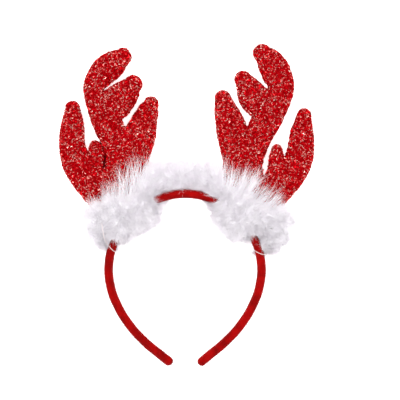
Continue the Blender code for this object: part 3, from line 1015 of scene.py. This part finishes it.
def tufts(seed, count, strands, length, width, spread, steps, curl):
    """Tufts of fine strands that rise together, fan out and curl at their tips."""
    rng = random.Random(seed)
    made = []
    for _ in range(count):
        bm = bmesh.new()
        sweep = Vector((rng.uniform(-curl, curl), rng.uniform(-curl, curl), 0.0))
        for _ in range(strands):
            root = Vector((rng.gauss(0, spread), rng.gauss(0, spread), 0.0))
            fan = Vector((rng.gauss(0, 0.6 * curl), rng.gauss(0, 0.6 * curl), 0.0))
            tall = length * rng.uniform(0.55, 1.1)
            facing = rng.uniform(0, math.pi)
            points, widths = [], []
            for k in range(steps + 1):
                t = k / steps
                rise = Vector((0, 0, t - STRAND_SAG * t * t))
                points.append(root + (sweep * t * t + fan * t + rise) * tall)
                widths.append(width * (1 - t) ** STRAND_TAPER if k < steps else 0.0)
            ribbon(bm, points, widths, Vector((math.cos(facing), math.sin(facing), 0.0)))
        made.append(bm)
    return made


def fur_lie(point, normal, radius, angle):
    """(lean of the fluff away from the down's normal, how far it has to run clear) at a point of the down."""
    radial = Vector((point.x, point.y, 0.0)) / radius
    outside = clamp((radius - CROWN_RADIUS) / LEAN_FADE, -1)
    beside = abs(radius - CROWN_RADIUS) < BESIDE_BAR * BAND_THICKNESS and point.z > -BAND_DEPTH / 2
    if beside and any(low < angle < high for low, high in BARE_ARCS):
        if outside < 0 and SPILL_ARC[0] < angle < SPILL_ARC[1]:
            return Vector((0.0, 0.0, 1.3)) + radial * 0.7 - normal, BARE_CLEAR
        return Vector((0.0, 0.0, 1.6)) + radial * math.copysign(0.5, outside) - normal, BARE_CLEAR
    to_end = math.copysign(clamp((abs(angle) - END_ARC[0]) / END_ARC[1]), angle)
    onward = Vector((radial.y, -radial.x, 0.0)) * to_end
    return (radial * outside * 1.5 + onward * 0.9) * (1 - abs(normal.dot(radial))), SHORTEST_CLEAR


def stray_lie(point, normal, angle):
    """The same for the strands that stray over an antler, fanned out by where round the hoop they grow."""
    rate, start, heading = STRAY_FANS[0 if angle < 0 else 1]
    heading = math.radians(rate * (angle - start) + heading)
    droop = DROOP * clamp((point.z - DROOP_FROM) / DROOP_FADE)
    return Vector((math.sin(heading), math.cos(heading), STRAY_RISE - droop)) * STRAY_PULL - normal


def comb(down, inner, tinsel_faces):
    """Writes on the down how thick each stretch of fur grows, how long, and how its strands lie."""
    flat = LYING.inverted()
    turn, lay = flat.to_3x3(), LYING.to_3x3()
    kinds = ("cover_left", "cover_middle", "cover_right", "cover_rim")
    covers = {kind: [] for kind in kinds}
    lies, strays, stray_sizes = [], [], []
    for vert in down.data.vertices:
        point, normal = flat @ vert.co, turn @ vert.normal
        radius = point.xy.length
        angle = math.degrees(math.atan2(point.x, point.y))
        lie, clear = fur_lie(point, normal, radius, angle)
        start = vert.co + vert.normal * (0.1 * MM)
        blocked = inner.ray_cast(start, lay @ (normal + lie), clear)[0]
        to_tinsel = tinsel_faces.find_nearest(vert.co)[3]
        thick = 0.0 if blocked else clamp(vert.co.z / FLOOR_THINNING, THINNEST)
        if point.z > 0:
            thick *= clamp(to_tinsel / THINNING, THINNEST)
        kind = "cover_middle"
        if abs(point.x) > CLUMP_FROM_MIDDLE:
            kind = "cover_left" if point.x < 0 else "cover_right"
        for key in kinds[:3]:
            covers[key].append(thick if key == kind else 0.0)
        front = point.z > 0 and normal.z > -0.2 and radius > CROWN_RADIUS + BAND_THICKNESS
        covers["cover_rim"].append(float(front and to_tinsel < RIM_REACH))
        stray_sizes.append(float(np.interp(angle, *zip(*WISP_SHARE))))
        lies.append(lay @ lie)
        strays.append(lay @ stray_lie(point, normal, angle))
    for key, values in (*covers.items(), ("wisp_size", stray_sizes)):
        write_on(down, key, "FLOAT", values)
    for key, values in (("lie", lies), ("stray", strays)):
        write_on(down, key, "FLOAT_VECTOR", values)


def keep_above_floor(piece):
    """Bends the strands that would reach through the floor along it."""
    points = np.empty(3 * len(piece.data.vertices), np.float32)
    piece.data.vertices.foreach_get("co", points)
    height = points[2::3]
    height[:] = np.maximum(height, FLOOR_GAP + FLOOR_SPREAD * np.abs(height))
    piece.data.vertices.foreach_set("co", points)
    piece.data.update()


fur_white = fur_material()
cad_fur = frame["nodes"]["fur_trim"]
bm = bmesh.new()
bm.from_mesh(cad_fur.data)
bmesh.ops.remove_doubles(bm, verts=bm.verts, dist=TOUCHING)
down = new_piece("fur_down", bm, fur_white)
inner = surface_tree([hoop] + antlers)
evened(down, DOWN_VOXEL, DOWN_SMOOTHING)
draw_in(down)
sink(down, inner, DOWN_SINK)
down.data.materials.clear()
down.data.materials.append(fur_white)
comb(down, inner, surface_tree(antlers))
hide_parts("fur_trim")
fluff = hidden_collection(
    "fluff_tuft",
    tufts(31, 12, STRANDS_IN_TUFT, STRAND_LENGTH, STRAND_WIDTH, TUFT_SPREAD, 2, TUFT_CURL),
)
wisps = hidden_collection(
    "wisp_tuft",
    tufts(32, 9, STRANDS_IN_WISP, WISP_LENGTH, WISP_WIDTH, WISP_SPREAD, 4, WISP_CURL),
)
fur_pieces = [down]
for region, seed, copies, density, lie, size, lean in (
    ("left", 41, fluff, TUFTS_PER_M2, "lie", None, 0.5),
    ("middle", 42, fluff, TUFTS_PER_M2, "lie", None, 0.5),
    ("right", 43, fluff, TUFTS_PER_M2, "lie", None, 0.5),
    ("rim", 44, wisps, WISPS_PER_M2, "stray", "wisp_size", 0.9),
):
    fur = grown_mesh(
        f"fur_{region}",
        down,
        scatter_tree(f"fur_{region}_tree", f"cover_{region}", lie, size),
        {
            "Copies": copies,
            "Per square metre": density,
            "Smallest": 0.7,
            "Largest": 1.15,
            "Lean": lean,
            "Clump": 90.0,
            "Lift": -0.3 * MM,
            "Seed": seed,
            "Material": fur_white,
        },
    )
    keep_above_floor(fur)
    fur_pieces.append(fur)
for piece in fur_pieces:
    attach(piece, "root")

# The threads: at each end of the fur strip a pale strand of the stitching thread is wound round the hoop,
# to hold the strip's end down.
THREAD_RADIUS = 0.24 * MM
THREAD_STEP = 0.6 * MM
THREADS = {
    # points of each strand about the crown's centre, in millimetres
    "left": (
        (-66.4, 42.0, 12.0), (-65.2, 37.0, 19.0), (-64.4, 32.0, 20.0), (-63.5, 26.0, 16.0),
        (-61.6, 21.3, 8.0), (-57.8, 16.4, 5.3), (-55.5, 14.6, 0.0), (-57.4, 15.4, -5.6),
        (-61.6, 19.0, -5.7), (-65.2, 23.5, -2.0), (-66.4, 29.0, 0.0),
    ),
    "right": (
        (55.2, 16.6, -1.0), (56.0, 15.8, 4.2), (59.2, 14.0, 5.5), (63.0, 12.9, 4.9),
        (65.6, 12.8, 0.0), (63.4, 14.6, -4.9), (59.4, 16.0, -5.8), (55.6, 17.2, -3.2),
    ),
}


def thread_material():
    """Twisted pale cotton: fine slanting ply lines."""
    material, tree, shader, place = new_material("pale_thread", roughness=0.6, Sheen_Weight=0.3)
    ply = add_node(tree, "ShaderNodeTexWave", {"Vector": place, "Scale": 900.0, "Distortion": 1.0})
    color = color_ramp(tree, result(ply, "Fac"), (0.0, 0.80, 0.62, 0.60), (0.6, 0.95, 0.86, 0.84))
    finish_shader(tree, shader, color)
    return material


def thread(name, points, material):
    """A strand of thread through the points."""
    curve = bpy.data.curves.new(name, "CURVE")
    curve.dimensions = "3D"
    curve.bevel_depth = THREAD_RADIUS
    curve.bevel_resolution = 3
    curve.use_fill_caps = True
    path = spline([Vector(point) * MM for point in points], THREAD_STEP)
    line = curve.splines.new("POLY")
    line.points.add(len(path) - 1)
    for knot, point in zip(line.points, path):
        knot.co = (*(LYING @ point), 1.0)
    strand = bpy.data.objects.new(name, curve)
    bpy.context.scene.collection.objects.link(strand)
    graph = bpy.context.evaluated_depsgraph_get()
    mesh = bpy.data.meshes.new_from_object(strand.evaluated_get(graph))
    bpy.data.objects.remove(strand)
    bm = bmesh.new()
    bm.from_mesh(mesh)
    bmesh.ops.remove_doubles(bm, verts=bm.verts, dist=TOUCHING)
    bmesh.ops.recalc_face_normals(bm, faces=bm.faces)
    return new_piece(name, bm, material)


cotton = thread_material()
for side, points in THREADS.items():
    strand = thread(f"thread_{side}", points, cotton)
    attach(strand, "root")

for collection in (blades, snips, fluff, wisps):
    for source in list(collection.objects):
        bpy.data.objects.remove(source)

# The stage: a white floor under soft studio lights, and a camera straight above, as in the photo, where
# 400 pixels span 320 mm and the headband lies a little left of and below the picture's middle.
PIXEL = 0.8 * MM
PICTURE_SIDE = 400 * PIXEL
CAMERA_RIGHT = 13.3 * PIXEL
CAMERA_UP = 5.4 * PIXEL
LENS = 135.0
SENSOR = 36.0
FOCUS_HEIGHT = 12.0 * MM


def paper_material():
    """Matt white paper with a faint tooth, lit a little from behind like a product photographer's table."""
    material, tree, shader, place = new_material(
        "white_paper",
        roughness=0.95,
        Specular_IOR_Level=0.1,
        Emission_Color=(1.0, 1.0, 1.0, 1.0),
        Emission_Strength=0.85,
    )
    tooth = noise(tree, place, 60.0, 4.0)
    color = color_ramp(tree, tooth, (0.0, 0.93, 0.93, 0.93), (1.0, 0.96, 0.96, 0.96))
    finish_shader(tree, shader, color)
    return material


bm = bmesh.new()
bmesh.ops.create_grid(bm, x_segments=8, y_segments=8, size=3.0)
floor = new_piece("paper_floor", bm, paper_material())

scene = bpy.context.scene
distance = PICTURE_SIDE * LENS / SENSOR
camera = bpy.data.objects.new("camera", bpy.data.cameras.new("camera"))
camera.data.lens = LENS
camera.data.sensor_width = SENSOR
camera.location = (CAMERA_RIGHT, CAMERA_UP, distance + FOCUS_HEIGHT)
scene.collection.objects.link(camera)
scene.camera = camera

for name, place, size, power in (
    ("key", (-0.4, 0.45, 1.3), 0.5, 11.5),
    ("fill", (0.6, 0.0, 1.2), 0.9, 7.5),
    ("low", (0.0, -1.2, 0.9), 0.8, 2.5),
):
    light = bpy.data.objects.new(name, bpy.data.lights.new(name, "AREA"))
    light.data.size = size
    light.data.energy = power
    light.location = place
    light.rotation_euler = (-Vector(place)).to_track_quat("-Z", "Y").to_euler()
    scene.collection.objects.link(light)

world = bpy.data.worlds.new("studio")
world.use_nodes = True
sky = world.node_tree.nodes["Background"]
sky.inputs["Color"].default_value = (1.0, 1.0, 1.0, 1.0)
sky.inputs["Strength"].default_value = 0.5
scene.world = world
scene.view_settings.view_transform = "Standard"
